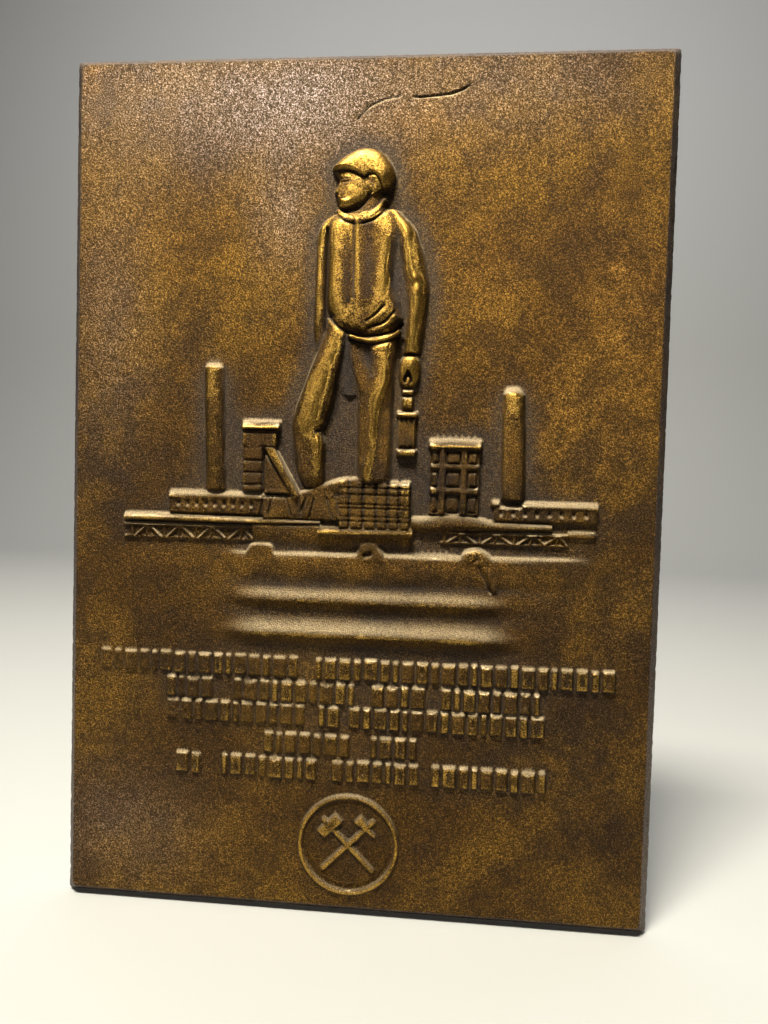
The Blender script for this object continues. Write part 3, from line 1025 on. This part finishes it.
def make_casting():
    """The casting as a Blender object, with the patina's shares as attributes of its points."""
    points, faces, marks = build_mesh(sculpt())
    mesh = bpy.data.meshes.new("plaque_casting")
    mesh.vertices.add(len(points))
    mesh.vertices.foreach_set("co", points.astype(np.float32).ravel())
    mesh.loops.add(faces.size)
    mesh.loops.foreach_set("vertex_index", faces.astype(np.int32).ravel())
    mesh.polygons.add(len(faces))
    mesh.polygons.foreach_set("loop_start", np.arange(0, faces.size, 3, dtype=np.int32))
    mesh.polygons.foreach_set("use_smooth", np.ones(len(faces), bool))
    mesh.update(calc_edges=True)
    mesh.validate()
    for name, values in marks.items():
        mesh.attributes.new(name, "FLOAT", "POINT").data.foreach_set("value", values)
    casting = bpy.data.objects.new("plaque_casting", mesh)
    bpy.context.scene.collection.objects.link(casting)
    print("casting:", len(points), "points,", len(faces), "triangles")
    return casting


# Materials


class Nodes:
    """Short helpers around a node tree."""

    def __init__(self, tree):
        self.tree = tree

    def add(self, kind, **values):
        node = self.tree.nodes.new(kind)
        for name, value in values.items():
            setattr(node, name, value)
        return node

    def link(self, source, target):
        self.tree.links.new(source, target)

    def feed(self, socket, value):
        if isinstance(value, bpy.types.NodeSocket):
            self.link(value, socket)
        else:
            socket.default_value = value

    def math(self, operation, first, second=0.0, clamp=False):
        node = self.add("ShaderNodeMath", operation=operation, use_clamp=clamp)
        self.feed(node.inputs[0], first)
        self.feed(node.inputs[1], second)
        return node.outputs[0]

    def times(self, first, second, clamp=False):
        return self.math("MULTIPLY", first, second, clamp)

    def ramp(self, value, low, high, start=0.0, end=1.0):
        node = self.add("ShaderNodeMapRange", interpolation_type="SMOOTHSTEP")
        self.feed(node.inputs["Value"], value)
        for name, number in (("From Min", low), ("From Max", high), ("To Min", start), ("To Max", end)):
            node.inputs[name].default_value = number
        return node.outputs["Result"]

    def noise(self, place, size, detail=4.0, roughness=0.55, distortion=0.0):
        """Noise with features of about that size in millimetres."""
        node = self.add("ShaderNodeTexNoise", noise_dimensions="3D")
        self.link(place, node.inputs["Vector"])
        node.inputs["Scale"].default_value = 1 / (size * MM)
        node.inputs["Detail"].default_value = detail
        node.inputs["Roughness"].default_value = roughness
        node.inputs["Distortion"].default_value = distortion
        return node.outputs["Fac"]

    def mix(self, share, first, second, blend="MIX"):
        node = self.add("ShaderNodeMix", data_type="RGBA", blend_type=blend)
        self.feed(node.inputs[0], share)
        self.feed(node.inputs[6], first)
        self.feed(node.inputs[7], second)
        return node.outputs[2]


# Colours of the bronze and its patina
BROWN = (0.062, 0.028, 0.0026, 1)
LIGHT_BROWN = (0.125, 0.061, 0.0055, 1)
BLOTCH_BROWN = (0.030, 0.0135, 0.0035, 1)
WARM_BROWN = (0.22, 0.105, 0.014, 1)
DARK_BROWN = (0.016, 0.009, 0.005, 1)
DULL_GREY = (0.210, 0.150, 0.098, 1)
PIT_BLACK = (0.012, 0.006, 0.002, 1)
SPECKLE_GAIN = (3.6, 4.1, 6.6, 1)
GRIME = (0.015, 0.010, 0.008, 1)
PALE_GRIME = (0.080, 0.055, 0.034, 1)
DIM_GOLD = (0.18, 0.088, 0.012, 1)
GOLD = (0.55, 0.33, 0.060, 1)
WORN_EDGE = (0.50, 0.385, 0.235, 1)

# Sizes of the cast surface's features, in millimetres
GRAIN_SIZE = 0.40
WRINKLE_SIZE = 1.6
BLOTCH_SIZE = 9.0
CLOUD_SIZE = 45.0
BUMP_DEPTH = 0.65


def bronze_material():
    material = bpy.data.materials.new("cast_bronze")
    material.use_nodes = True
    tree = material.node_tree
    tree.nodes.clear()
    n = Nodes(tree)
    shader = n.add("ShaderNodeBsdfPrincipled")
    output = n.add("ShaderNodeOutputMaterial")
    n.link(shader.outputs["BSDF"], output.inputs["Surface"])
    place = n.add("ShaderNodeTexCoord").outputs["Object"]
    marks = {}
    for name in ("rub", "shelter", "upper", "dark", "warm", "dull"):
        marks[name] = n.add("ShaderNodeAttribute", attribute_name=name).outputs["Fac"]

    grain = n.noise(place, GRAIN_SIZE, detail=3.0, roughness=0.6)
    wrinkle = n.noise(place, WRINKLE_SIZE, detail=4.0, roughness=0.62, distortion=0.8)
    blotch = n.noise(place, BLOTCH_SIZE, detail=5.0, roughness=0.62)
    cloud = n.noise(place, CLOUD_SIZE, detail=3.0, roughness=0.5, distortion=0.4)

    field = n.mix(n.ramp(cloud, 0.36, 0.64), BROWN, LIGHT_BROWN)
    field = n.mix(n.times(n.ramp(blotch, 0.44, 0.66), 0.5), field, BLOTCH_BROWN)
    field = n.mix(n.times(marks["warm"], n.ramp(blotch, 0.62, 0.40, 0.35, 1.0)), field, WARM_BROWN)
    field = n.mix(n.times(marks["dark"], n.ramp(blotch, 0.38, 0.60, 0.45, 1.0)), field, DARK_BROWN)
    sheen = n.times(marks["dull"], n.ramp(grain, 0.36, 0.60, 0.25, 1.0))
    field = n.mix(sheen, field, DULL_GREY)
    pitted = n.times(n.ramp(grain, 0.52, 0.40), n.ramp(wrinkle, 0.60, 0.40, 0.5, 1.0))
    field = n.mix(n.times(pitted, 0.85), field, PIT_BLACK)
    speckle = n.times(n.ramp(grain, 0.53, 0.64), n.ramp(wrinkle, 0.42, 0.62, 0.5, 1.0))
    bright = n.mix(1.0, field, SPECKLE_GAIN, "MULTIPLY")
    field = n.mix(speckle, field, bright)
    grime_share = n.times(marks["shelter"], n.ramp(wrinkle, 0.30, 0.62, 0.45, 1.0), clamp=True)
    grimy = n.mix(n.ramp(grain, 0.42, 0.66), GRIME, PALE_GRIME)
    field = n.mix(n.times(grime_share, 0.72), field, grimy)
    rub_noise = n.math("ADD", marks["rub"], n.ramp(blotch, 0.35, 0.65, -0.22, 0.16))
    rub_noise = n.math("ADD", rub_noise, n.ramp(grain, 0.35, 0.65, -0.12, 0.12))
    rub_noise = n.math("SUBTRACT", rub_noise, n.times(marks["dark"], 0.45))
    rubbed = n.ramp(rub_noise, 0.24, 0.84)
    gold = n.mix(n.ramp(grain, 0.38, 0.62), DIM_GOLD, GOLD)
    colour = n.mix(rubbed, field, gold)
    worn = n.times(marks["upper"], n.ramp(grain, 0.34, 0.58, 0.35, 0.9))
    colour = n.mix(worn, colour, WORN_EDGE)
    n.link(colour, shader.inputs["Base Color"])

    metal = n.math("SUBTRACT", 0.97, n.times(grime_share, 0.30))
    n.link(metal, shader.inputs["Metallic"])
    rough = n.ramp(wrinkle, 0.30, 0.70, 0.35, 0.47)
    rough = n.math("ADD", rough, n.times(grime_share, 0.14))
    rough = n.math("ADD", rough, n.times(marks["dull"], 0.10))
    rough = n.math("SUBTRACT", rough, n.times(rubbed, 0.08))
    n.link(rough, shader.inputs["Roughness"])
    shader.inputs["Coat Weight"].default_value = 0.1
    shader.inputs["Coat Roughness"].default_value = 0.4
    shader.inputs["Coat IOR"].default_value = 1.6

    roughened = n.math("SUBTRACT", 1.0, n.times(rubbed, 0.7))
    roughened = n.math("SUBTRACT", roughened, n.times(marks["upper"], 0.2))
    height = n.times(n.math("ADD", grain, n.times(wrinkle, 0.3)), roughened)
    bump = n.add("ShaderNodeBump")
    bump.inputs["Strength"].default_value = 1.0
    bump.inputs["Distance"].default_value = BUMP_DEPTH * MM
    n.link(height, bump.inputs["Height"])
    n.link(bump.outputs["Normal"], shader.inputs["Normal"])
    n.link(bump.outputs["Normal"], shader.inputs["Coat Normal"])
    return material


def plain_material(name, colour, roughness):
    material = bpy.data.materials.new(name)
    material.use_nodes = True
    shader = material.node_tree.nodes["Principled BSDF"]
    shader.inputs["Base Color"].default_value = (*colour, 1.0)
    shader.inputs["Roughness"].default_value = roughness
    return material


# Studio

FLOOR_GAP = 0.0004
FLOOR_BEND = 0.5
FLOOR_COLOUR = (0.40, 0.397, 0.39)

# The photograph's viewpoint: place, viewing direction, upward direction and focal length
CAMERA_PLACE = (0.02914, -0.23956, 0.00228)
CAMERA_FORWARD = (-0.08473, 0.99572, -0.03696)
CAMERA_UP = (-0.03052, 0.03448, 0.99894)
CAMERA_LENS = 24.96


def add_floor():
    """A pale floor that curves up far behind the plaque."""
    level = -PLATE_HEIGHT / 2 * MM - FLOOR_GAP
    near, bend, far, top = -0.20, 1.1, 1.6, 2.6
    section = [(near, level), (bend, level)]
    for step in range(1, 9):
        angle = math.radians(90 * step / 8)
        rise = FLOOR_BEND * (1 - math.cos(angle))
        section.append((bend + FLOOR_BEND * math.sin(angle), level + rise))
    section.append((far, level + top))
    points = [(x, y, z) for x in (-3.0, 3.0) for y, z in section]
    count = len(section)
    faces = [(k, count + k, count + k + 1, k + 1) for k in range(count - 1)]
    mesh = bpy.data.meshes.new("studio_floor")
    mesh.from_pydata(points, [], faces)
    mesh.polygons.foreach_set("use_smooth", [True] * len(faces))
    floor = bpy.data.objects.new("studio_floor", mesh)
    bpy.context.scene.collection.objects.link(floor)
    floor.data.materials.append(plain_material("pale_floor", FLOOR_COLOUR, 0.7))


def add_light(name, place, target, size, power, colour=(1.0, 1.0, 1.0)):
    light = bpy.data.lights.new(name, "AREA")
    light.shape = "RECTANGLE"
    light.size, light.size_y = size
    light.energy = power
    light.color = colour
    lamp = bpy.data.objects.new(name, light)
    lamp.location = place
    lamp.rotation_euler = (Vector(target) - Vector(place)).to_track_quat("-Z", "Y").to_euler()
    bpy.context.scene.collection.objects.link(lamp)


def add_lights():
    add_light("ceiling_light", (-0.13, -0.40, 0.88), (0.0, 0.0, 0.03), (0.30, 0.18), 29.0,
              (1.0, 0.965, 0.82))
    add_light("front_fill", (-0.9, -1.5, 0.7), (0.0, 0.0, 0.0), (1.0, 1.0), 3.2, (1.0, 0.96, 0.86))
    add_light("backdrop_light", (0.0, 0.5, 1.5), (0.0, 1.5, 0.1), (2.0, 0.5), 18.0)
    world = bpy.context.scene.world or bpy.data.worlds.new("studio")
    bpy.context.scene.world = world
    world.use_nodes = True
    background = world.node_tree.nodes["Background"]
    background.inputs["Color"].default_value = (0.92, 0.94, 1.0, 1.0)
    background.inputs["Strength"].default_value = 0.04
    bpy.context.scene.view_settings.view_transform = "Standard"


def add_camera():
    """The photograph's viewpoint: a phone at arm's length, a little right of the middle."""
    camera = bpy.data.objects.new("camera", bpy.data.cameras.new("camera"))
    camera.data.lens = CAMERA_LENS
    camera.data.sensor_width = 36.0
    camera.data.clip_start = 0.01
    forward = Vector(CAMERA_FORWARD).normalized()
    up = Vector(CAMERA_UP)
    right = forward.cross(up).normalized()
    up = right.cross(forward)
    turn = Matrix((right, up, -forward)).transposed().to_4x4()
    camera.matrix_world = Matrix.Translation(CAMERA_PLACE) @ turn
    bpy.context.scene.collection.objects.link(camera)
    bpy.context.scene.camera = camera


casting = make_casting()
casting.data.materials.append(bronze_material())
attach(casting, "root")
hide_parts("plaque")
add_floor()
add_lights()
add_camera()
